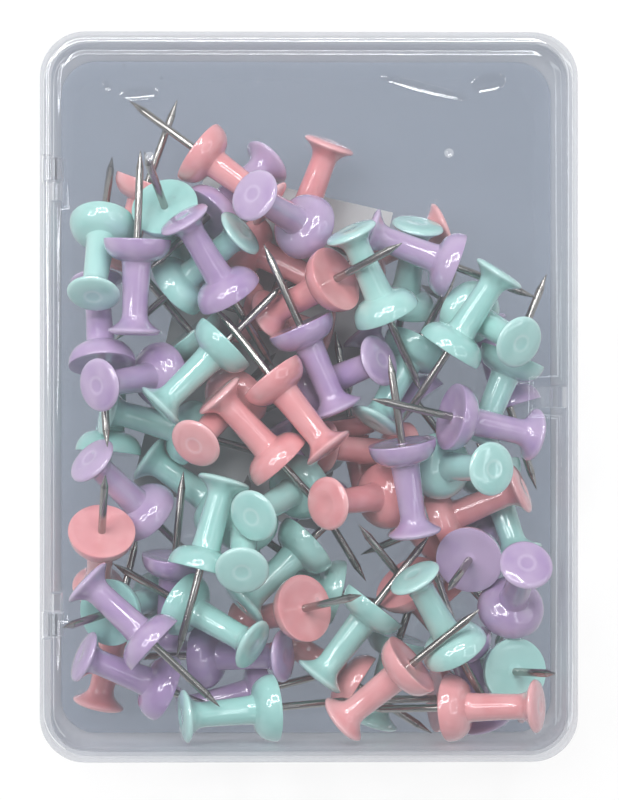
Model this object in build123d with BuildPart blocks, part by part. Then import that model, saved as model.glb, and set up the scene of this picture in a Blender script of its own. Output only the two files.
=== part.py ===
from build123d import *
from math import cos, pi, sin
import os

import numpy as np

# A clear hinged case full of loose push pins, lying flat, in millimetres.
# The origin is the middle of the case's underside, +X is away from the hinge and +Z is up.

# Case
case_width = 70.0
case_length = 95.0
corner_radius = 6.0
wall = 1.3
floor_thickness = 1.3
lid_thickness = 1.2
inside_depth = 24.7
base_height = 18.5
seam = 0.15
top_edge_radius = 1.5
bottom_edge_bevel = 1.0

# Lip on the base's rim that the lid closes over
lip_height = 1.0
lip_thickness = 0.5
lip_clearance = 0.15
lip_end_clearance = 0.4
lip_setback = 7.0

# Hinge along the -X side: ears on the base, lugs with stub pins on the lid
hinge_radius = 1.3
stub_radius = 0.6
stub_clearance = 0.08
ear_width = 3.0
ear_spacing = 60.0
lug_width = 2.5
hinge_side_gap = 0.3
rim_drop = 1.0
notch_rise = 0.7

# Catch in the middle of the +X side
tongue_width = 2.7
tongue_thickness = 1.1
tongue_reach = 3.5
tongue_clearance = 0.3
gusset_reach = 4.0

# Paper slip on the floor
slip_width = 26.5
slip_length = 45.0
slip_thickness = 0.15
slip_turn = -13.0
slip_x = -6.0
slip_y = 6.5

# Push pin: the head's length runs from the cap's top to the collar's flat face
head_length = 12.9
cap_radius = 3.65
cap_rim = 0.6
cap_thickness = 2.1
shaft_cap_radius = 1.75
shaft_collar_radius = 2.0
collar_radius = 4.65
collar_thickness = 3.0
needle_radius = 0.525
needle_length = 11.7
point_length = 2.2
needle_seat = 8.0
seat_clearance = 0.02
head_sides = 9
needle_sides = 5

# Room between settled pins
pin_clearance = 0.15

# Pins as the picture shows them, deepest first: colour, layer, place of the collar's flat face,
# heading of the needle in plan and its tilt, in degrees, where a negative tilt points it down
pins_read = [
    ("pink", "bottom", -8, 12, 187, 0),
    ("aqua", "bottom", -20, 10, 100, 0),
    ("pink", "bottom", 11, 16, 200, 0),
    ("aqua", "bottom", 15.5, 12, 260, 0),
    ("lilac", "bottom", 28, -1, 250, 0),
    ("pink", "bottom", 5.5, -5, 95, 0),
    ("aqua", "bottom", -30, -9, 280, 0),
    ("aqua", "bottom", 4, -25, 330, 0),
    ("aqua", "bottom", 11, -33, 60, 0),
    ("lilac", "bottom", -5, -35, 20, 0),
    ("lilac", "bottom", -15, -36, 170, 0),
    ("pink", "bottom", 8, -38, 340, 0),
    ("pink", "bottom", 16, -41, 200, 0),
    ("pink", "bottom", -25, -31, 80, 0),
    ("lilac", "bottom", 3, -15, 320, 0),
    ("lilac", "bottom", 13, -3, 300, 0),
    ("pink", "bottom", 21, -23, 340, 0),
    ("aqua", "middle", -28, -31, 174, 62),
    ("lilac", "middle", 1.2, 1, 200, -64),
    ("aqua", "middle", 0, -12, 30, -64),
    ("pink", "middle", -22, 27.5, 55, 0),
    ("aqua", "middle", -19, 24.5, 115, 62),
    ("pink", "middle", -9, 23, 147, 0),
    ("lilac", "middle", -14.5, 22.5, 227, 0),
    ("aqua", "middle", -19, 15, 223, -15),
    ("lilac", "middle", -21.7, 2, 20, -64),
    ("aqua", "middle", -18, -6, -9, 0),
    ("aqua", "middle", -12.5, -16, -27, 0),
    ("lilac", "middle", -21, -14.5, -17, -37),
    ("lilac", "middle", -19, -23, 85, 20),
    ("aqua", "middle", 2, -20.5, 49, 0),
    ("pink", "middle", 0.5, -30.5, 30, 48),
    ("aqua", "middle", 28, 4.5, 68, 0),
    ("aqua", "middle", 15, 6.5, 61, -8),
    ("pink", "middle", 14.5, -11.5, -22, 0),
    ("aqua", "middle", 24, -9.5, 117, 0),
    ("pink", "middle", 19, -16, 203, -20),
    ("pink", "middle", 15.5, -24, 127, 0),
    ("lilac", "middle", 21.5, -33, 97, 45),
    ("aqua", "middle", 28, -35, 29, 60),
    ("pink", "middle", -2.5, 21, 245, -27),
    ("aqua", "top", -28.5, 23.5, 75, -48),
    ("lilac", "top", -28.5, 3.5, 274, 10),
    ("lilac", "top", -23.5, 20, 89, 0),
    ("pink", "top", -15, 30, 139, 0),
    ("lilac", "top", -13, 14.5, -54, 0),
    ("lilac", "top", 0.5, 21, -30, -64),
    ("lilac", "top", 20, 15.5, -22, 0),
    ("aqua", "top", 10, 11, -73, -18),
    ("pink", "top", 2, 16.5, 38, 20),
    ("aqua", "top", 19.5, 5.5, 229, 0),
    ("aqua", "top", 21.8, 11, 150, -64),
    ("aqua", "top", -12, 6.5, 35, 0),
    ("lilac", "top", -0.5, 10.5, 109, 12),
    ("pink", "top", -2.5, -9.5, -51, -33),
    ("pink", "top", -5.5, 4.5, 118, 5),
    ("pink", "top", -11.2, -1, 60, -64),
    ("pink", "top", -27, -18, 76, 48),
    ("aqua", "top", -5.8, -16.5, 63, -64),
    ("aqua", "top", -16.5, -28, 151, 0),
    ("lilac", "top", -21.5, -31, -33, 12),
    ("aqua", "top", -16, -24, 246, -5),
    ("lilac", "top", -20.5, -38.5, -19, 0),
    ("aqua", "top", -6.5, -42.5, 8, 0),
    ("aqua", "top", 10.5, -24.5, 61, 0),
    ("pink", "top", 10, -12.5, 20, -53),
    ("lilac", "top", 12.5, -7, 105, 18),
    ("aqua", "top", 17, -10, 183, -52),
    ("lilac", "top", 19, -3.5, 170, 18),
    ("lilac", "top", 22, -21.5, 201, 48),
    ("lilac", "top", 26.3, -29, 232, -64),
    ("pink", "top", 17, -36, 31, 0),
    ("pink", "top", 21, -42.5, 197, 0),
    ("aqua", "top", 20, -34.7, 300, -64),
]
colours = ["aqua", "pink", "lilac"]
layers = ["bottom", "middle", "top"]

# Sizes that follow from those above
lid_underside = floor_thickness + inside_depth
case_height = lid_underside + lid_thickness
inner_width = case_width - 2 * wall
inner_length = case_length - 2 * wall
inner_corner = corner_radius - wall
lip_outside = (inner_width + 2 * lip_thickness, inner_length + 2 * lip_thickness, inner_corner + lip_thickness)
lid_bottom = base_height + seam
hinge_x = hinge_radius - case_width / 2
hinge_z = base_height + hinge_radius
catch_inset = tongue_clearance + tongue_thickness
hinge_inset = 2 * hinge_radius - wall


def head_rings(dome_steps):
    """Places along the axis and radii of the head's bands, from the cap to the collar's flat face."""
    rings = [
        (-head_length, cap_radius),
        (cap_rim - head_length, cap_radius),
        (cap_thickness - head_length, shaft_cap_radius),
    ]
    swell = collar_radius - shaft_collar_radius
    for step in range(dome_steps + 1):
        angle = pi / 2 * step / dome_steps
        rings.append((-collar_thickness * cos(angle), shaft_collar_radius + swell * sin(angle)))
    return rings


# The pile: pins start where they were read and are pushed apart until none touch,
# while they sink towards the floor and hold to their read place and heading
outline = np.array(
    [(-head_length, 0)]
    + head_rings(6)
    + [(0, needle_radius), (needle_length - point_length, needle_radius), (needle_length, 0)]
)
grid_step = 0.08
grid_margin = 3.0
balance = -2.0
gyration_squared = 45.0
start_heights = {"bottom": 6.2, "middle": 11.0, "top": 16.5}
start_rise = 0.02
grips = {"bottom": 0.006, "middle": 0.02, "top": 0.04}
steep_tilt = 45.0
steep_grip = 0.06
forming_hold = 0.5
resting_hold = 0.15
order_push = 0.6
push_ease = 1.3
crowd_power = 0.7
pair_margin = 1.0
pair_rounds = 8
pair_stations = 9
rim_feelers = 14
feeler_pitch = 1.0
sink_step = 0.02
largest_push = 0.3
forming_rounds = 500
resting_rounds = 380
freeing_rounds = 600
wanted_gap = 0.06
least_gap = 0.03


def outline_distance(along, out):
    """Distance of points, by their place along and out from the axis, to the outline, negative inside."""
    point = np.stack([along, out], -1)[..., None, :]
    start, end = outline[:-1], outline[1:]
    edge = end - start
    share = np.clip(((point - start) * edge).sum(-1) / (edge * edge).sum(-1), 0, 1)
    distance = np.sqrt(((point - start - share[..., None] * edge) ** 2).sum(-1)).min(-1)
    crossed = (start[:, 0] <= along[..., None]) != (end[:, 0] <= along[..., None])
    run = np.where(edge[:, 0] == 0, 1, edge[:, 0])
    height = start[:, 1] + (along[..., None] - start[:, 0]) / run * edge[:, 1]
    inside = (crossed & (out[..., None] < height)).sum(-1) % 2 == 1
    return np.where(inside, -distance, distance)


grid_start = -head_length - grid_margin
grid_along = np.arange(grid_start, needle_length + grid_margin, grid_step)
grid_out = np.arange(0, collar_radius + grid_margin, grid_step)
distances = outline_distance(*np.meshgrid(grid_along, grid_out, indexing="ij"))
slopes_along, slopes_out = np.gradient(distances, grid_step)


def feelers(rim_points, pitch):
    """Points round a pin's rims and balls along its axis: place along, two across, and ball radius."""
    rims = [(along, radius, rim_points) for along, radius in head_rings(3) if radius > shaft_collar_radius]
    rims.append((0, collar_radius / 2, rim_points // 3))
    rims.append((-head_length, cap_radius / 2, rim_points // 3))
    rows = []
    for along, radius, count in rims:
        for turn in np.arange(count) * 2 * pi / count:
            rows.append((along, radius * cos(turn), radius * sin(turn), 0))
    for along in np.arange(cap_thickness - head_length, -collar_thickness, 2 * pitch):
        rows.append((along, 0, 0, shaft_cap_radius))
    for along in np.arange(pitch, needle_length - point_length, pitch):
        rows.append((along, 0, 0, needle_radius))
    for share in (1, 0.75, 0.5, 0.25, 0.02):
        rows.append((needle_length - share * point_length, 0, 0, share * needle_radius))
    return np.array(rows)


def unit(vectors):
    return vectors / np.maximum(np.linalg.norm(vectors, axis=-1, keepdims=True), 1e-9)


def near_pairs(centres, axes, reach):
    """Pairs of pins whose axes pass within reach of each other."""
    one, two = np.triu_indices(len(centres), 1)
    stations = np.linspace(-head_length - balance, needle_length - balance, pair_stations)
    points = centres[one][:, None] + stations[:, None] * axes[one][:, None]
    offset = points - centres[two][:, None]
    along = np.clip((offset * axes[two][:, None]).sum(-1), stations[0], stations[-1])
    apart = np.linalg.norm(offset - along[..., None] * axes[two][:, None], axis=-1).min(1)
    close = apart < reach
    return one[close], two[close]


def contacts_between(points, balls, faces, axes, one, two):
    """The deepest point of each first pin in its second pin: pins, place, way out and gap."""
    offset = points[one] - faces[two][:, None]
    along = np.einsum("psk,pk->ps", offset, axes[two])
    out = np.sqrt(np.maximum((offset * offset).sum(-1) - along * along, 0))
    row = np.clip(((along - grid_start) / grid_step).astype(int), 0, len(grid_along) - 1)
    column = np.clip((out / grid_step).astype(int), 0, len(grid_out) - 1)
    gaps = distances[row, column] - balls
    pair = np.arange(len(one))
    deepest = gaps.argmin(1)
    row, column = row[pair, deepest], column[pair, deepest]
    sideways = unit(offset[pair, deepest] - along[pair, deepest, None] * axes[two])
    way = unit(slopes_along[row, column, None] * axes[two] + slopes_out[row, column, None] * sideways)
    return one, two, points[one, deepest], way, gaps[pair, deepest]


def contacts_with_case(points, balls):
    """The deepest point of each pin in the floor, the lid and the walls."""
    pins = np.arange(len(points))
    found = []
    for up, level in ((1, floor_thickness + slip_thickness), (-1, lid_underside)):
        gaps = up * (points[..., 2] - level) - balls
        deepest = gaps.argmin(1)
        way = np.tile([0.0, 0.0, up], (len(points), 1))
        found.append((pins, None, points[pins, deepest], way, gaps[pins, deepest]))
    half = np.array([inner_width / 2 - max(catch_inset, hinge_inset), inner_length / 2])
    beyond = np.abs(points[..., :2]) - (half - inner_corner)
    outside = np.linalg.norm(np.maximum(beyond, 0), axis=-1) + np.minimum(beyond.max(-1), 0)
    gaps = inner_corner - outside - balls
    deepest = gaps.argmin(1)
    inward = -np.sign(points[pins, deepest, :2]) * np.maximum(beyond[pins, deepest], 1e-9)
    way = np.concatenate([unit(inward), np.zeros((len(points), 1))], 1)
    found.append((pins, None, points[pins, deepest], way, gaps[pins, deepest]))
    return found


def settle(pins):
    """Where the pins come to rest: their collar faces' centres, their axes and their gaps by pair."""
    count = len(pins)
    heading = np.radians([pin[4] for pin in pins])
    tilt = np.radians([pin[5] for pin in pins])
    axes = np.stack([np.cos(tilt) * np.cos(heading), np.cos(tilt) * np.sin(heading), np.sin(tilt)], 1)
    centres = np.array([(pin[2], pin[3], 0.0) for pin in pins]) + balance * axes
    centres[:, 2] = [start_heights[pin[1]] for pin in pins] + start_rise * np.arange(count)
    steep = np.abs(tilt) >= np.radians(steep_tilt)
    cap_reach = (head_length + balance) * np.sin(tilt) + cap_radius * np.cos(tilt)
    point_reach = (needle_length - balance) * np.sin(-tilt)
    standing = floor_thickness + slip_thickness + np.where(tilt > 0, cap_reach, point_reach)
    centres[steep, 2] = standing[steep] + 2 * pin_clearance
    read_centres, read_axes = centres.copy(), axes.copy()
    grip = np.where(steep, steep_grip, [grips[pin[1]] for pin in pins])[:, None]
    order = np.array([count * layers.index(pin[1]) for pin in pins]) + np.arange(count)
    coarse, fine = feelers(rim_feelers, feeler_pitch), feelers(2 * rim_feelers, feeler_pitch / 2)
    rounds = forming_rounds + resting_rounds
    for turn in range(rounds + freeing_rounds):
        forming = max(0.0, 1 - turn / forming_rounds)
        if turn < rounds:
            hold = grip * (forming_hold if forming else resting_hold)
            centres[:, 2] -= sink_step
            centres[:, :2] += hold * (read_centres - centres)[:, :2]
            axes = unit(axes + hold * (read_axes - axes))
        if turn % pair_rounds == 0:
            one, two = near_pairs(centres, axes, 2 * collar_radius + pair_margin)
            both = np.concatenate([one, two]), np.concatenate([two, one])
        body = coarse if turn < forming_rounds + resting_rounds / 3 else fine
        upright = np.where(np.abs(axes[:, 2:]) > 0.9, [[1.0, 0, 0]], [[0, 0, 1.0]])
        across = unit(np.cross(axes, upright))
        faces = centres - balance * axes
        points = faces[:, None] + body[:, 0, None] * axes[:, None] + body[:, 1, None] * across[:, None]
        points += body[:, 2, None] * np.cross(axes, across)[:, None]
        between = contacts_between(points, body[:, 3], faces, axes, *both)
        found = [between] + contacts_with_case(points, body[:, 3])
        tightest = min(contact[4].min() for contact in found)
        if turn > rounds and tightest > wanted_gap:
            break
        shift, swing, touches = np.zeros((count, 3)), np.zeros((count, 3)), np.zeros(count)
        for first, second, place, way, gaps in found:
            deep = gaps < pin_clearance
            first, place, way, depth = first[deep], place[deep], way[deep], pin_clearance - gaps[deep]
            sides = [(first, 1)]
            if second is not None:
                second = second[deep]
                over = np.sign(order[first] - order[second])
                way = unit(way + order_push * forming * over[:, None] * np.array([0, 0, 1.0]))
                sides.append((second, -1))
            levers = [((place - centres[pin]) * axes[pin]).sum(1) for pin, sign in sides]
            turning = [way - (way * axes[pin]).sum(1)[:, None] * axes[pin] for pin, sign in sides]
            give = sum(1 + arm**2 * (w * w).sum(1) / gyration_squared for arm, w in zip(levers, turning))
            push = depth / give
            for (pin, sign), arm, w in zip(sides, levers, turning):
                np.add.at(shift, pin, sign * push[:, None] * way)
                np.add.at(swing, pin, sign * (push * arm / gyration_squared)[:, None] * w)
                np.add.at(touches, pin, 1)
        share = push_ease / np.maximum(touches, 1)[:, None] ** crowd_power
        shift, swing = share * shift, share * swing
        size = np.maximum(np.linalg.norm(shift, axis=1, keepdims=True), 1e-9)
        centres = centres + shift * np.minimum(1, largest_push / size)
        axes = unit(axes + swing)
    return faces, axes, between


def without_trapped(pins, faces, axes, between):
    """The settled pins, less any deep one that found no room among its neighbours."""
    kept = np.ones(len(pins), bool)
    one, two, _, _, gaps = between
    for pair in np.argsort(gaps):
        if gaps[pair] < least_gap and kept[one[pair]] and kept[two[pair]]:
            kept[min(one[pair], two[pair])] = False
    return [(pin[0], pin[1], face, axis) for pin, face, axis, keep in zip(pins, faces, axes, kept) if keep]


settled = without_trapped(pins_read, *settle(pins_read))
print(len(settled), "pins settled of", len(pins_read))

os.makedirs("parts", exist_ok=True)


def hinge_plane(y):
    """A plane across the hinge axis, with its origin on the axis, X outwards over the case and Y up."""
    return Plane(origin=(hinge_x, y, hinge_z), x_dir=(1, 0, 0), z_dir=(0, -1, 0))


ear_places = [-ear_spacing / 2, ear_spacing / 2]

# Base: a tray with a lip on three sides and two hinge ears
with BuildPart() as case_base:
    with BuildSketch():
        RectangleRounded(case_width, case_length, corner_radius)
    extrude(amount=base_height)
    chamfer(case_base.faces().sort_by(Axis.Z)[0].edges(), bottom_edge_bevel)
    with BuildSketch(Plane.XY.offset(floor_thickness)):
        RectangleRounded(inner_width, inner_length, inner_corner)
    extrude(amount=base_height - floor_thickness, mode=Mode.SUBTRACT)
    with BuildSketch(Plane.XY.offset(base_height)):
        RectangleRounded(*lip_outside)
        RectangleRounded(inner_width, inner_length, inner_corner, mode=Mode.SUBTRACT)
        with Locations((-case_width / 2, 0)):
            Rectangle(2 * lip_setback, case_length, mode=Mode.SUBTRACT)
        with Locations((case_width / 2, 0)):
            Rectangle(2 * corner_radius, tongue_width + 2 * tongue_clearance, mode=Mode.SUBTRACT)
    extrude(amount=lip_height)
    with BuildSketch(Plane.XY.offset(base_height)):
        with Locations((-case_width / 2, 0)):
            Rectangle(2 * (2 * hinge_radius + hinge_side_gap), case_length)
    extrude(amount=-rim_drop, mode=Mode.SUBTRACT)
    for y in ear_places:
        with BuildSketch(hinge_plane(y)):
            Circle(hinge_radius)
            root = hinge_radius + rim_drop
            with BuildLine():
                Polyline(
                    (-hinge_radius, 0),
                    (hinge_radius, 0),
                    (hinge_radius, -root),
                    (wall - hinge_radius, -root - hinge_inset),
                    (-hinge_radius, -root - hinge_inset),
                    close=True,
                )
            make_face()
            Circle(stub_radius + stub_clearance, mode=Mode.SUBTRACT)
        extrude(amount=ear_width / 2, both=True)
case_base.part.label = "case_base"
export_step(case_base.part, "parts/case_base.step")

# Lid: a shallow shell with notches for the ears, lugs with stub pins, and the catch tongue
with BuildPart() as lid:
    with BuildSketch(Plane.XY.offset(lid_bottom)):
        RectangleRounded(case_width, case_length, corner_radius)
    extrude(amount=case_height - lid_bottom)
    fillet(lid.faces().sort_by(Axis.Z)[-1].edges(), top_edge_radius)
    with BuildSketch(Plane.XY.offset(lid_bottom)):
        RectangleRounded(inner_width, inner_length, inner_corner)
    extrude(amount=lid_underside - lid_bottom, mode=Mode.SUBTRACT)
    rebate = lip_thickness + lip_clearance
    with BuildSketch(Plane.XY.offset(lid_bottom)):
        RectangleRounded(inner_width + 2 * rebate, inner_length + 2 * rebate, inner_corner + rebate)
        with Locations((-case_width / 2, 0)):
            Rectangle(2 * (lip_setback - lip_end_clearance), case_length, mode=Mode.SUBTRACT)
    extrude(amount=lip_height + lip_clearance - seam, mode=Mode.SUBTRACT)
    for y in ear_places:
        lug_side = ear_width / 2 + hinge_side_gap
        inboard = -1 if y > 0 else 1
        with BuildSketch(hinge_plane(y)):
            with Locations((0, notch_rise / 2)):
                Rectangle(4 * hinge_radius, 2 * hinge_radius + notch_rise)
        extrude(amount=lug_side, both=True, mode=Mode.SUBTRACT)
        with BuildSketch(hinge_plane(y + inboard * (lug_side + lug_width / 2))):
            Circle(hinge_radius)
            with Locations((0, (lid_underside - hinge_z) / 2)):
                Rectangle(2 * hinge_radius, lid_underside - hinge_z)
            with Locations((-hinge_radius, 0)):
                Rectangle(wall, 4 * case_height, mode=Mode.SUBTRACT)
        extrude(amount=lug_width / 2, both=True)
        with BuildSketch(hinge_plane(y + inboard * lug_side)):
            Circle(stub_radius)
        extrude(amount=inboard * (hinge_side_gap + ear_width))
    tongue_outside = inner_width / 2 - tongue_clearance
    tongue_root = base_height + lip_height + 2 * lip_clearance
    with BuildSketch(Plane.XZ):
        with BuildLine():
            Polyline(
                (tongue_outside, base_height - tongue_reach),
                (tongue_outside, tongue_root),
                (inner_width / 2 + wall / 2, tongue_root),
                (inner_width / 2 + wall / 2, lid_underside),
                (inner_width / 2 - gusset_reach, lid_underside),
                (tongue_outside - tongue_thickness, tongue_root),
                (tongue_outside - tongue_thickness, base_height - tongue_reach),
                close=True,
            )
        make_face()
    extrude(amount=tongue_width / 2, both=True)
lid.part.label = "lid"
export_step(lid.part, "parts/lid.step")

# Paper slip
with BuildPart() as label_slip:
    with BuildSketch(Plane.XY.offset(floor_thickness)):
        with Locations(Location((slip_x, slip_y), slip_turn)):
            Rectangle(slip_width, slip_length)
    extrude(amount=slip_thickness)
label_slip.part.label = "label_slip"
export_step(label_slip.part, "parts/label_slip.step")

# One push pin along Z, point up, with the collar's flat face at the origin.
# The pile is many pins, so the head is turned in flat facets.
corners = [
    [(radius * cos(turn), radius * sin(turn), along) for turn in np.arange(head_sides) * 2 * pi / head_sides]
    for along, radius in head_rings(2)
]
facets = [make_face(Polyline(*ring, close=True)) for ring in (corners[0], corners[-1])]
for ring, next_ring in zip(corners, corners[1:]):
    for side in range(head_sides):
        after = (side + 1) % head_sides
        band = Polyline(ring[side], ring[after], next_ring[after], next_ring[side], close=True)
        facets.append(make_face(band))

with BuildPart() as pin_head:
    add(Solid(Shell([facet.face() for facet in facets])))
    with BuildSketch():
        RegularPolygon(needle_radius + seat_clearance / cos(pi / needle_sides), needle_sides)
    extrude(amount=-needle_seat - seat_clearance, mode=Mode.SUBTRACT)

with BuildPart() as pin_needle:
    with BuildSketch(Plane.XY.offset(-needle_seat)):
        RegularPolygon(needle_radius, needle_sides)
    extrude(amount=needle_seat + needle_length - point_length)
    shank_end = pin_needle.faces().sort_by(Axis.Z)[-1]
    loft(sections=[shank_end, Vertex(0, 0, needle_length)], ruled=True)

for colour in colours:
    for layer in layers:
        places = [
            Plane(origin=tuple(face), z_dir=tuple(axis)).location
            for pin_colour, pin_layer, face, axis in settled
            if (pin_colour, pin_layer) == (colour, layer)
        ]
        with BuildPart() as heads:
            with Locations(*places):
                add(pin_head.part)
        heads.part.label = f"{colour}_heads_{layer}"
        export_step(heads.part, f"parts/{heads.part.label}.step")
        with BuildPart() as needles:
            with Locations(*places):
                add(pin_needle.part)
        needles.part.label = f"{colour}_needles_{layer}"
        export_step(needles.part, f"parts/{needles.part.label}.step")
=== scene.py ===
"""A clear hinged case of push pins, lying flat and seen from straight above."""

import math
import random

import bmesh
import bpy
from mathutils import Matrix, Vector


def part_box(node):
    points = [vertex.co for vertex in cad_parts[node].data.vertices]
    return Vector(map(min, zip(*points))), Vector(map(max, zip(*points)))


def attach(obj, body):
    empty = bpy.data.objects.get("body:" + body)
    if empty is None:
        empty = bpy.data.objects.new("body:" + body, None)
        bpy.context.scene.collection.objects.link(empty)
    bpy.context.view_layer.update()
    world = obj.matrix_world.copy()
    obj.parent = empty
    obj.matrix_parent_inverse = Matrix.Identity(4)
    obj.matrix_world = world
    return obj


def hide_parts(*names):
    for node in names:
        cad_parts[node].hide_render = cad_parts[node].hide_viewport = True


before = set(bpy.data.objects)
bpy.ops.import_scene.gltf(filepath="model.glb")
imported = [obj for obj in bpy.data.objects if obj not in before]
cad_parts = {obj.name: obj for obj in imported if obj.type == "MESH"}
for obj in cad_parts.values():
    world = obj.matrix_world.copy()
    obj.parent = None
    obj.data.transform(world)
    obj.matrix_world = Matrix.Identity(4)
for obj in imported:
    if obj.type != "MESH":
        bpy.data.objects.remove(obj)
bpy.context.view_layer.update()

mm = 0.001
chance = random.Random(7)

# The pins, in millimetres, measured along the needle from the collar's face
colours = ("aqua", "pink", "lilac")
layers = ("bottom", "middle", "top")
needle_length = 11.7
point_length = 2.2
needle_radius = 0.525
needle_sunk = 1.0
needle_sides = 5
collar_radius = 4.65
collar_edge = 0.25
dome_height = 2.95
dome_foot = 2.1
dome_steps = 8
dome_start = 0.6
shaft_radius = 1.95
round_fit = 0.975

# Marks on the heads, in millimetres, with the caps' rims paled by painted light and their dimples' middles
# darkened by painted shade
cap_radius = 3.65
# Where the painted light on the caps' rims begins, out to the cap's radius
cap_rim_inside = 2.9
cap_underside = -11.5
cap_end = -12.4
seam_ends = (-12.2, -0.4)
seam_width = 0.05
gate_least_tone = 0.5
# Radii over which the painted shade in the cap's dimple fades in
dimple_radii = (1.0, 0.7)
gate_ring_radii = (1.45, 1.15)
grind_ring_width = 0.09

# The case, in millimetres, with its faces told apart by their normals
frosted_below = 2.0
ceiling_above = 25.0
corner_round = 1.7
corner_segments = 8
largest_rounded = 60.0
ceiling_normal = -0.999
axis_normal = 0.9999
floor_normal = 0.9
wall_normal = 0.2

# Meshes: sides of round shapes, angles of sharp edges in degrees, and how near points merge, in millimetres
head_sides = 40
fine_needle_sides = 20
mould_mark_sides = 28
sink_mark_sides = 48
pin_sharp_angle = 34
case_sharp_angle = 35
turned_merge = 0.002
cad_merge = 0.001

# The studio, in metres except for the table's drop, which is in millimetres
table_radius = 3.0
table_sides = 64
backdrop_height = 0.7
table_drop = 0.2
table_glow = 0.86
lamp_aim = (0, 0, 0.01)
lamp_frame = 0.16
bar_share = 0.25
post_share = 0.21
pane_share = 0.08
sky_colour = (0.97, 0.985, 1.0, 1)
sky_strength = 0.24

# The camera, in millimetres above the lid and beside the middle of the case
case_depth = 27.2
camera_height = 400.0
camera_left = 7.0
camera_down = 0.4
camera_sensor = 36.0
camera_lens = 179.6


class Wire:
    """A socket of a finish; sums of wires and numbers make their own nodes."""

    def __init__(self, finish, socket):
        self.finish = finish
        self.socket = socket

    def sum(self, operation, first, second):
        return self.finish.node("ShaderNodeMath", {"operation": operation}, {0: first, 1: second})

    def __add__(self, other):
        return self.sum("ADD", self, other)

    def __radd__(self, other):
        return self.sum("ADD", other, self)

    def __sub__(self, other):
        return self.sum("SUBTRACT", self, other)

    def __rsub__(self, other):
        return self.sum("SUBTRACT", other, self)

    def __mul__(self, other):
        return self.sum("MULTIPLY", self, other)

    def __rmul__(self, other):
        return self.sum("MULTIPLY", other, self)

    def __pow__(self, other):
        return self.sum("POWER", self, other)

    def __gt__(self, other):
        return self.sum("GREATER_THAN", self, other)

    def __lt__(self, other):
        return self.sum("LESS_THAN", self, other)

    def near(self, place, width):
        """1 where the value is within width of place, else 0."""
        return self.finish.node("ShaderNodeMath", {"operation": "COMPARE"}, {0: self, 1: place, 2: width})


class Finish:
    """A procedural finish, made from nodes."""

    def __init__(self, name):
        self.material = bpy.data.materials.new(name)
        self.material.use_nodes = True
        self.tree = self.material.node_tree
        self.tree.nodes.clear()

    def node(self, kind, settings, sockets, output=0):
        made = self.tree.nodes.new(kind)
        for name, value in settings.items():
            setattr(made, name, value)
        for name, value in sockets.items():
            if isinstance(value, Wire):
                self.tree.links.new(value.socket, made.inputs[name])
            else:
                made.inputs[name].default_value = value
        return Wire(self, made.outputs[output])

    def attribute(self, name, output):
        return self.node("ShaderNodeAttribute", {"attribute_name": name}, {}, output)

    def place(self):
        return self.node("ShaderNodeTexCoord", {}, {}, "Object")

    def light_path(self, kind):
        return self.node("ShaderNodeLightPath", {}, {}, kind)

    def stretched(self, vector, scale):
        return self.node("ShaderNodeMapping", {}, {"Vector": vector, "Scale": scale})

    def noise(self, vector, scale, detail):
        return self.node("ShaderNodeTexNoise", {}, {"Vector": vector, "Scale": scale, "Detail": detail})

    def axis(self, vector, name):
        return self.node("ShaderNodeSeparateXYZ", {}, {"Vector": vector}, name)

    def blend(self, factor, first, second):
        """A colour between two colours."""
        return self.node("ShaderNodeMix", {"data_type": "RGBA"}, {0: factor, 6: first, 7: second}, 2)

    def ramp(self, value, low, high):
        """0 at low and 1 at high, held at both ends."""
        return self.node("ShaderNodeMapRange", {}, {"Value": value, "From Min": low, "From Max": high})

    def bump(self, height, strength, distance):
        return self.node("ShaderNodeBump", {}, {"Height": height, "Strength": strength, "Distance": distance})

    def mixed(self, factor, first, second):
        """A shader between two shaders."""
        return self.node("ShaderNodeMixShader", {}, {0: factor, 1: first, 2: second})

    def principled(self, sockets):
        return self.node("ShaderNodeBsdfPrincipled", {}, sockets)

    def show(self, shader):
        end = self.tree.nodes.new("ShaderNodeOutputMaterial")
        self.tree.links.new(shader.socket, end.inputs["Surface"])
        return self.material


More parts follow.
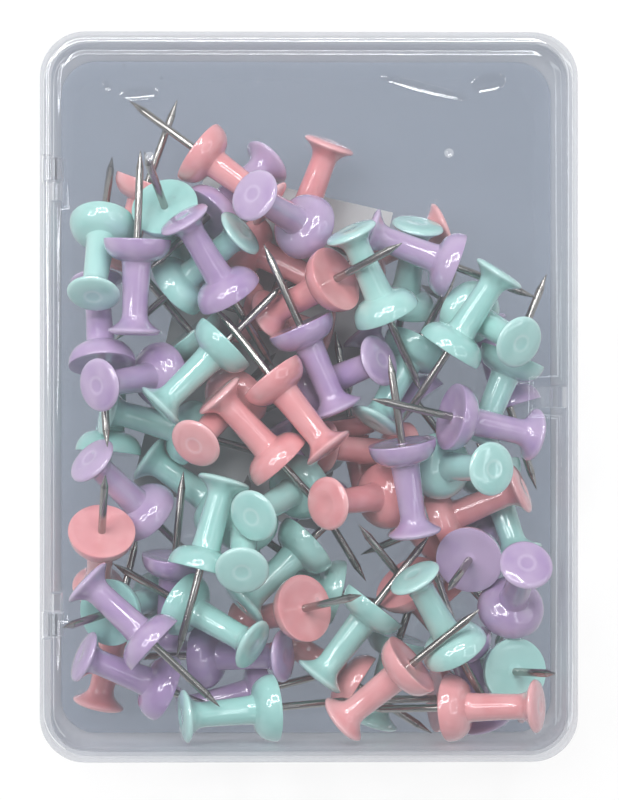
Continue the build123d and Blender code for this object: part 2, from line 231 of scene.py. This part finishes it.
def moulded_plastic(name, colour, deep, pale):
    """Glossy pastel plastic of the heads: caps' thin rims paled by painted light, faint scuffs, a mould line,
    and on some caps a gate ring and painted shade in the middle of the dimple.
    """
    finish = Finish(name)
    own = finish.attribute("own", "Vector")
    tone = finish.attribute("tone", "Fac")
    along = finish.axis(own, "Z")
    across = finish.axis(own, "Y")
    flat = finish.stretched(own, (1, 1, 0))
    reach = finish.node("ShaderNodeVectorMath", {"operation": "LENGTH"}, {0: flat}, "Value")
    shift = finish.node("ShaderNodeCombineXYZ", {}, {"X": tone * 91.0, "Y": tone * 37.0, "Z": tone * 53.0})
    spot = finish.node("ShaderNodeVectorMath", {"operation": "ADD"}, {0: own, 1: shift})
    cloud = finish.noise(spot, 0.35, 1.0)
    scuff = finish.ramp(finish.noise(finish.stretched(spot, (3.0, 3.0, 0.6)), 3.0, 1.0), 0.58, 0.72)
    # Painted light: the caps' thin rims turn towards the pale colour.
    rim = finish.ramp(reach, cap_rim_inside, cap_radius) * (along < cap_underside)
    seam = across.near(0.0, seam_width) * (along < seam_ends[1]) * (along > seam_ends[0])
    gate = (along < cap_end) * (tone > gate_least_tone)
    # Painted shade: the middle of the cap's dimple is darkened towards the deep colour.
    dimple = gate * finish.ramp(reach, *dimple_radii)
    ring = gate * finish.ramp(reach, *gate_ring_radii) - dimple
    body = finish.blend(finish.ramp(cloud + tone * 0.5 - 0.25, 0.3, 0.75), deep, colour)
    # The pale colour gives the painted light on the caps' rims and the gate rings' own colour.
    body = finish.blend(rim * 0.55 + ring * 0.4, body, pale)
    # Darker seam and scuffs, and the painted shade in the dimples' middles.
    body = finish.blend(seam * 0.12 + dimple * 0.35 + scuff * 0.06, body, deep)
    return finish.show(finish.principled({
        "Base Color": body,
        "Roughness": 0.1 + scuff * 0.1 + cloud * 0.04,
        "IOR": 1.54,
        "Coat Weight": 1.0,
        "Coat Roughness": 0.07,
        "Normal": finish.bump(cloud * 0.6 + seam * 0.4, 0.08, 0.0002),
    }))


def needle_steel():
    """Grey drawn wire with a ground point: lines along the shank, rings round the cone."""
    finish = Finish("needle_steel")
    own = finish.attribute("own", "Vector")
    tone = finish.attribute("tone", "Fac")
    along = finish.axis(own, "Z")
    drawn = finish.noise(finish.stretched(own, (7.0, 7.0, 0.3)), 1.6, 1.0)
    ground = finish.noise(finish.stretched(own, (1.2, 1.2, 16.0)), 1.5, 1.0)
    point = along > needle_length - point_length
    ring = along.near(needle_length - point_length, grind_ring_width)
    marks = drawn * (1 - point) + ground * point
    body = finish.blend(marks, (0.27, 0.26, 0.245, 1), (0.47, 0.455, 0.43, 1))
    body = finish.blend(tone * 0.3, body, (0.30, 0.27, 0.24, 1))
    body = finish.blend(ring * 0.7, body, (0.12, 0.115, 0.11, 1))
    return finish.show(finish.principled({
        "Base Color": body,
        "Metallic": 1.0,
        "Roughness": 0.14 + marks * 0.14,
        "Normal": finish.bump(marks - ring * 0.6, 0.1, 0.00004),
    }))


def clear_plastic(name, haze, glance, tint, veil, rim):
    """Clear, slightly frosted plastic: a grey-blue veil, gloss, rubbed scratches and dust, with the milk
    paler at grazing angles as a painted sheen on the edges.
    """
    finish = Finish(name)
    place = finish.place()
    facing = finish.node("ShaderNodeLayerWeight", {}, {"Blend": 0.5}, "Facing")
    shaded = finish.light_path("Is Shadow Ray")
    cloud = finish.noise(place, 55.0, 1.0)
    rubbed = finish.noise(finish.stretched(place, (1500.0, 60.0, 300.0)), 1.0, 1.0)
    dust = finish.node("ShaderNodeTexVoronoi", {}, {"Vector": place, "Scale": 170.0}, "Distance")
    specks = (dust < 0.045) * finish.ramp(cloud, 0.5, 0.6)
    scratches = finish.ramp(rubbed, 0.7, 0.8)
    edge = facing ** 3.0
    cover = haze * (0.7 + cloud * 0.6) + glance * edge + scratches * 0.02 + specks * 0.2
    # Painted sheen: the milk's colour goes from the veil towards the rim colour at grazing angles.
    milk = finish.principled({
        "Base Color": finish.blend(edge, veil, rim),
        "Roughness": 0.3 + cloud * 0.1,
        "IOR": 1.49,
    })
    through = finish.node("ShaderNodeBsdfTransparent", {}, {"Color": tint})
    gloss = finish.principled({
        "Base Color": finish.blend(cloud, (0.92, 0.95, 0.97, 1), (1, 1, 1, 1)),
        "Metallic": 1.0,
        "Roughness": 0.05 + scratches * 0.02 + cloud * 0.03,
        "Normal": finish.bump(cloud, 0.05, 0.0006),
    })
    wall = finish.mixed(cover, through, milk)
    first_hand = 1 - finish.light_path("Is Diffuse Ray")
    shader = finish.mixed((0.055 + 0.16 * facing ** 5.0) * first_hand, wall, gloss)
    return finish.show(finish.mixed(shaded, shader, through))


def plain_paper():
    """Uncoated paper with fibres and a faint mottle."""
    finish = Finish("plain_paper")
    place = finish.place()
    mottle = finish.noise(place, 240.0, 4.0)
    fibre = finish.noise(finish.stretched(place, (2600.0, 700.0, 900.0)), 1.0, 3.0)
    body = finish.blend(mottle, (0.46, 0.48, 0.48, 1), (0.56, 0.58, 0.58, 1))
    body = finish.blend(finish.ramp(fibre, 0.6, 0.8) * 0.25, body, (0.40, 0.41, 0.41, 1))
    return finish.show(finish.principled({
        "Base Color": body,
        "Roughness": 0.75 + mottle * 0.15,
        "Normal": finish.bump(fibre, 0.3, 0.00006),
    }))


def white_table():
    """The pale floor: white to the eye, and it keeps the case's soft shadow."""
    finish = Finish("white_table")
    seen = finish.light_path("Is Camera Ray")
    mirrored = finish.light_path("Is Glossy Ray")
    passed = finish.light_path("Is Transmission Ray")
    any_ray = seen.sum("MAXIMUM", seen, seen.sum("MAXIMUM", mirrored, passed))
    matt = finish.principled({
        "Base Color": (0.93, 0.93, 0.93, 1),
        "Roughness": 0.8,
        "Specular IOR Level": 0.1,
    })
    bright = finish.node("ShaderNodeEmission", {}, {"Color": (1, 1, 1, 1), "Strength": 1.0})
    return finish.show(finish.mixed(any_ray * table_glow, matt, bright))


def made_mesh(name, bm):
    mesh = bpy.data.meshes.new(name)
    bm.to_mesh(mesh)
    bm.free()
    return mesh


def add_piece(name, mesh, finish, body, slot, *nodes):
    piece = bpy.data.objects.new(name, mesh)
    bpy.context.collection.objects.link(piece)
    mesh.materials.append(finish)
    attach(piece, body)
    if nodes:
        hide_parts(*nodes)


def turned(name, profile, sides):
    """A round shape turned from its outline of radius and height, with its own place kept."""
    bm = bmesh.new()
    points = [bm.verts.new((radius * mm, 0, height * mm)) for radius, height in profile]
    outline = [bm.edges.new(pair) for pair in zip(points, points[1:])]
    bmesh.ops.spin(bm, geom=points + outline, cent=(0, 0, 0), axis=(0, 0, 1), angle=math.tau,
                   steps=sides, use_merge=True)
    bmesh.ops.remove_doubles(bm, verts=bm.verts, dist=turned_merge * mm)
    bmesh.ops.recalc_face_normals(bm, faces=bm.faces)
    own = bm.verts.layers.float_vector.new("own")
    bm.verts.layers.float.new("tone")
    for vert in bm.verts:
        vert[own] = vert.co / mm
    for face in bm.faces:
        face.smooth = True
    return made_mesh(name, bm)


def head_outline():
    """From the dimple in the cap, round its rim, down the shaft and over the collar to its dished face."""
    cap = [(0, -12.79), (0.45, -12.795), (0.75, -12.81), (1.0, -12.84), (1.25, -12.865), (1.6, -12.87),
           (2.0, -12.84), (2.5, -12.79), (3.1, -12.68), (3.42, -12.55), (3.59, -12.38), (3.64, -12.2),
           (3.56, -12.04), (3.3, -11.88)]
    neck = [(2.85, -11.6), (2.4, -11.25), (2.05, -10.9), (1.85, -10.5), (1.75, -9.9), (1.82, -7.2)]
    foot = [(shaft_radius, -4.2), (2.0, -3.45), (dome_foot, -3.08)]
    swell = collar_radius - dome_foot
    rise = dome_height - collar_edge
    dome = []
    for step in range(dome_steps):
        turn = math.pi / 2 * (step + dome_start) / (dome_steps - 1 + dome_start)
        dome.append((dome_foot + swell * math.sin(turn), -collar_edge - rise * math.cos(turn)))
    face = [(collar_radius, -0.14), (4.6, -0.04), (4.45, 0.0), (3.6, -0.09), (2.4, -0.17), (1.3, -0.21),
            (0.85, -0.2), (0.65, -0.12), (0, -0.11)]
    return [(radius * round_fit, height) for radius, height in cap + neck + foot + dome + face]


def needle_outline():
    """From the end in the head, up the shank and the ground cone to the tip."""
    shank = needle_length - point_length
    return [(0, -needle_sunk), (needle_radius, -needle_sunk), (needle_radius, shank - 0.06),
            (needle_radius - 0.03, shank), (0.26, shank + 1.15), (0.06, needle_length - 0.06),
            (0, needle_length)]


def pin_places(node):
    """The pins of a needle node, each as the placement of its collar's face with the needle along Z."""
    bm = bmesh.new()
    bm.from_mesh(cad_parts[node].data)
    bmesh.ops.remove_doubles(bm, verts=bm.verts, dist=cad_merge * mm)
    seen = set()
    places = []
    for start in bm.verts:
        if start in seen:
            continue
        island = [start]
        seen.add(start)
        for vert in island:
            for edge in vert.link_edges:
                other = edge.other_vert(vert)
                if other not in seen:
                    seen.add(other)
                    island.append(other)
        spots = [vert.co.copy() for vert in island]
        middle = sum(spots, Vector()) / len(spots)
        tip = max(spots, key=lambda spot: (spot - middle).length)
        spots.sort(key=lambda spot: (spot - tip).length)
        butt = sum(spots[-needle_sides:], Vector()) / needle_sides
        heading = (tip - butt).normalized()
        turn = heading.to_track_quat("Z", "Y").to_matrix().to_4x4()
        places.append(Matrix.Translation(tip - heading * needle_length * mm) @ turn)
    bm.free()
    return places


def pile_of(name, shape, places, tones, finish, body, slot, *nodes):
    """One shape set at each place, with each copy's own tone."""
    bm = bmesh.new()
    for place, tone in zip(places, tones):
        first = len(bm.verts)
        bm.from_mesh(shape)
        bm.verts.ensure_lookup_table()
        fresh = bm.verts[first:]
        bmesh.ops.transform(bm, matrix=place @ Matrix.Rotation(tone * math.tau, 4, "Z"), verts=fresh)
        own_tone = bm.verts.layers.float["tone"]
        for vert in fresh:
            vert[own_tone] = tone
    mesh = made_mesh(name, bm)
    mesh.set_sharp_from_angle(angle=math.radians(pin_sharp_angle))
    add_piece(name, mesh, finish, body, slot, *nodes)


def case_piece(name, node, body, outer, inner, floor):
    """A shell of the case with its ceiling's corner rounded, and a finish for each of its sides."""
    bm = bmesh.new()
    bm.from_mesh(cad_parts[node].data)
    bmesh.ops.remove_doubles(bm, verts=bm.verts, dist=cad_merge * mm)
    ceiling = {face for face in bm.faces
               if face.normal.z < ceiling_normal and face.calc_center_median().z > ceiling_above * mm}
    corner = [edge for edge in bm.edges if len(ceiling.intersection(edge.link_faces)) == 1]
    bmesh.ops.bevel(bm, geom=corner, offset=corner_round * mm, segments=corner_segments, affect="EDGES",
                    profile=0.5, material=-1)
    bm.normal_update()
    for face in bm.faces:
        middle = face.calc_center_median()
        small = face.calc_area() < largest_rounded * mm * mm
        face.smooth = small and max(map(abs, face.normal)) < axis_normal
        if abs(face.normal.z) > floor_normal and middle.z < frosted_below * mm:
            face.material_index = 2
        elif abs(face.normal.z) < wall_normal and face.normal.xy.dot(middle.xy) < 0:
            face.material_index = 1
        else:
            face.material_index = 0
    for edge in bm.edges:
        edge.smooth = edge.calc_face_angle(math.pi) < math.radians(case_sharp_angle)
    mesh = made_mesh(name, bm)
    mesh.attributes.remove(mesh.attributes["custom_normal"])
    add_piece(name, mesh, outer, body, "clear_plastic", node)
    mesh.materials.append(inner)
    mesh.materials.append(floor)


def window_lamp(name, place, width, height, power, tint):
    """A soft lamp with a bright frame round a dimmer pane, as a panel lamp shows in gloss."""
    turn = (Vector(lamp_aim) - Vector(place)).to_track_quat("-Z", "Y")
    edge = lamp_frame * min(width, height)
    bars = (("top", 0, height / 2, width, edge, bar_share),
            ("low", 0, -height / 2, width, edge, bar_share),
            ("left", -width / 2, 0, edge, height, post_share),
            ("right", width / 2, 0, edge, height, post_share),
            ("pane", 0, 0, width - edge, height - edge, pane_share))
    for part, right, up, wide, high, share in bars:
        data = bpy.data.lights.new(name + "_" + part, "AREA")
        data.shape = "RECTANGLE"
        data.size = wide
        data.size_y = high
        data.energy = power * share
        data.color = tint
        lamp = bpy.data.objects.new(name + "_" + part, data)
        lamp.location = Vector(place) + turn @ Vector((right, up, 0))
        lamp.rotation_mode = "QUATERNION"
        lamp.rotation_quaternion = turn
        bpy.context.collection.objects.link(lamp)


steel = needle_steel()
# Each head finish: its colour, a deep colour for mottle, seam, scuffs and the painted shade in the dimples,
# and a pale colour for the gate rings and the painted light on the caps' rims.
head_finishes = {
    "aqua": moulded_plastic("aqua_plastic", (0.42, 0.70, 0.645, 1),
                            (0.34, 0.63, 0.58, 1), (0.60, 0.81, 0.775, 1)),
    "pink": moulded_plastic("pink_plastic", (0.81, 0.375, 0.38, 1),
                            (0.74, 0.285, 0.295, 1), (0.88, 0.55, 0.55, 1)),
    "lilac": moulded_plastic("lilac_plastic", (0.49, 0.365, 0.55, 1),
                             (0.39, 0.265, 0.48, 1), (0.64, 0.53, 0.69, 1)),
}
# Each clear finish: haze, grazing cover, tint, veil, and a paler rim colour that is painted sheen at grazing
# angles. The floor's tint and veil, far darker than the walls', are partly the plastic's own grey-blue and
# partly painted shade for the case's shadow on the table beneath.
floor_clear = clear_plastic("floor_clear", 0.2, 0.45, (0.63, 0.665, 0.72, 1),
                            (0.34, 0.37, 0.42, 1), (0.6, 0.62, 0.65, 1))
wall_clear = clear_plastic("wall_clear", 0.06, 0.7, (0.95, 0.955, 0.965, 1),
                           (0.6, 0.63, 0.68, 1), (0.94, 0.95, 0.97, 1))
lid_clear = clear_plastic("lid_clear", 0.03, 0.55, (0.97, 0.975, 0.985, 1),
                          (0.5, 0.53, 0.58, 1), (0.82, 0.84, 0.87, 1))
inner_clear = clear_plastic("inner_clear", 0.05, 0.9, (0.95, 0.955, 0.965, 1),
                            (0.46, 0.49, 0.54, 1), (0.52, 0.56, 0.61, 1))
mark_clear = clear_plastic("mark_clear", 0.3, 0.6, (0.9, 0.91, 0.92, 1),
                           (0.66, 0.68, 0.72, 1), (0.95, 0.96, 0.98, 1))

head_shape = turned("pin_head_shape", head_outline(), head_sides)
needle_shape = turned("pin_needle_shape", needle_outline(), fine_needle_sides)
for colour in colours:
    for layer in layers:
        needles = f"{colour}_needles_{layer}"
        heads = f"{colour}_heads_{layer}"
        places = pin_places(needles)
        tones = [chance.random() for place in places]
        pile_of(f"fine_{heads}", head_shape, places, tones, head_finishes[colour], "case",
                f"{colour}_plastic", heads)
        pile_of(f"fine_{needles}", needle_shape, places, tones, steel, "case", "steel", needles)

case_piece("fine_case_base", "case_base", "case", wall_clear, inner_clear, floor_clear)
case_piece("fine_lid", "lid", "lid", lid_clear, inner_clear, floor_clear)

lid_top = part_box("lid")[1][2]
mark_outline = [(0, 0.02), (0.34, 0.02), (0.42, 0.06), (0.54, 0.06), (0.62, 0.0), (0.62, -0.05), (0, -0.05)]
mark_shape = turned("mould_mark_shape", mark_outline, mould_mark_sides)
mark_places = [Matrix.Translation((x * mm, y * mm, lid_top)) for x, y in ((-20.7, 31.1), (18.1, 31.6))]
pile_of("mould_marks", mark_shape, mark_places, (0.3, 0.6), mark_clear, "lid", "clear_plastic")

# Shallow sink marks: place, turn in degrees, half width and half depth
sink_marks = ((23.2, 40.7, 12, 2.4, 1.3), (15.0, 40.0, -14, 6.0, 0.7),
              (-26.3, 40.2, 110, 0.9, 0.5), (-22.0, 39.2, 5, 2.6, 0.9))
sink_outline = [(0, 0.0), (0.8, 0.005), (0.92, 0.05), (1.0, 0.0), (1.0, -0.05), (0, -0.05)]
sink_shape = turned("sink_mark_shape", sink_outline, sink_mark_sides)
sink_places = [Matrix.Translation((x * mm, y * mm, lid_top)) @ Matrix.Rotation(math.radians(turn), 4, "Z")
               @ Matrix.Diagonal((wide, deep, 1, 1)) for x, y, turn, wide, deep in sink_marks]
pile_of("sink_marks", sink_shape, sink_places, (0.0, 0.0, 0.0, 0.0), lid_clear, "lid", "clear_plastic")

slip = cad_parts["label_slip"]
slip.data.materials.clear()
slip.data.materials.append(plain_paper())

bm = bmesh.new()
bmesh.ops.create_circle(bm, cap_ends=True, segments=table_sides, radius=table_radius)
sweep = bmesh.ops.extrude_edge_only(bm, edges=bm.edges)["geom"]
backdrop = [part for part in sweep if isinstance(part, bmesh.types.BMVert)]
bmesh.ops.translate(bm, vec=(0, 0, backdrop_height), verts=backdrop)
bmesh.ops.translate(bm, vec=(0, 0, -table_drop * mm), verts=bm.verts)
table_mesh = made_mesh("table", bm)
table_mesh.materials.append(white_table())
table = bpy.data.objects.new("table", table_mesh)
bpy.context.collection.objects.link(table)

window_lamp("key_lamp", (-0.05, 0.31, 0.5), 0.32, 0.22, 3.0, (1.0, 0.985, 0.97))
window_lamp("left_lamp", (-0.34, 0.13, 0.46), 0.2, 0.2, 1.4, (1.0, 0.99, 0.98))
window_lamp("fill_lamp", (0.36, 0.04, 0.42), 0.34, 0.4, 0.95, (0.97, 0.985, 1.0))

world = bpy.data.worlds.new("studio")
bpy.context.scene.world = world
world.use_nodes = True
sky = world.node_tree.nodes["Background"]
sky.inputs["Color"].default_value = sky_colour
sky.inputs["Strength"].default_value = sky_strength

camera_data = bpy.data.cameras.new("camera")
camera_data.sensor_fit = "HORIZONTAL"
camera_data.sensor_width = camera_sensor
camera_data.lens = camera_lens
camera = bpy.data.objects.new("camera", camera_data)
camera.location = (-camera_left * mm, -camera_down * mm, (camera_height + case_depth) * mm)
camera.rotation_euler = (0, -math.atan(camera_left / camera_height), 0)
bpy.context.collection.objects.link(camera)
bpy.context.scene.camera = camera
bpy.context.scene.view_settings.view_transform = "Standard"
